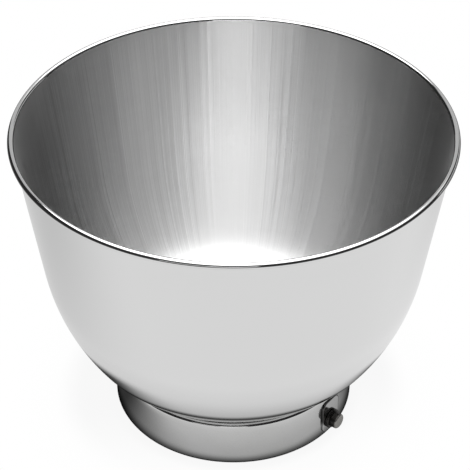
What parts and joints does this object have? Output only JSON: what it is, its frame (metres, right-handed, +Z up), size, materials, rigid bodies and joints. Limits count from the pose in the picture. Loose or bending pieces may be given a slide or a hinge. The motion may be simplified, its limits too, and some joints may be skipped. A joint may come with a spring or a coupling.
{
  "type": "stand mixer bowl",
  "caption": "Deep round stainless steel mixing bowl with a rolled rim, on a foot ring with locking studs that turns into a stand mixer's base.",
  "frame": {"origin": "on the bowl's axis, on the surface that the foot stands on", "axes": "+Z up along the bowl's axis, -Y towards the viewer of the picture, +X to the viewer's right"},
  "size_m": [0.222, 0.222, 0.1663],
  "materials": {
    "shell_steel": "stainless sheet, brushed round its axis inside, mirror-polished outside",
    "foot_steel": "stainless sheet, mirror-polished",
    "stud_steel": "dark steel, turned"
  },
  "bodies": {
    "root": {"bowl_shell": "shell_steel", "foot_ring": "foot_steel", "locking_stud_front": "stud_steel", "locking_stud_back": "stud_steel"}
  },
  "joints": []
}
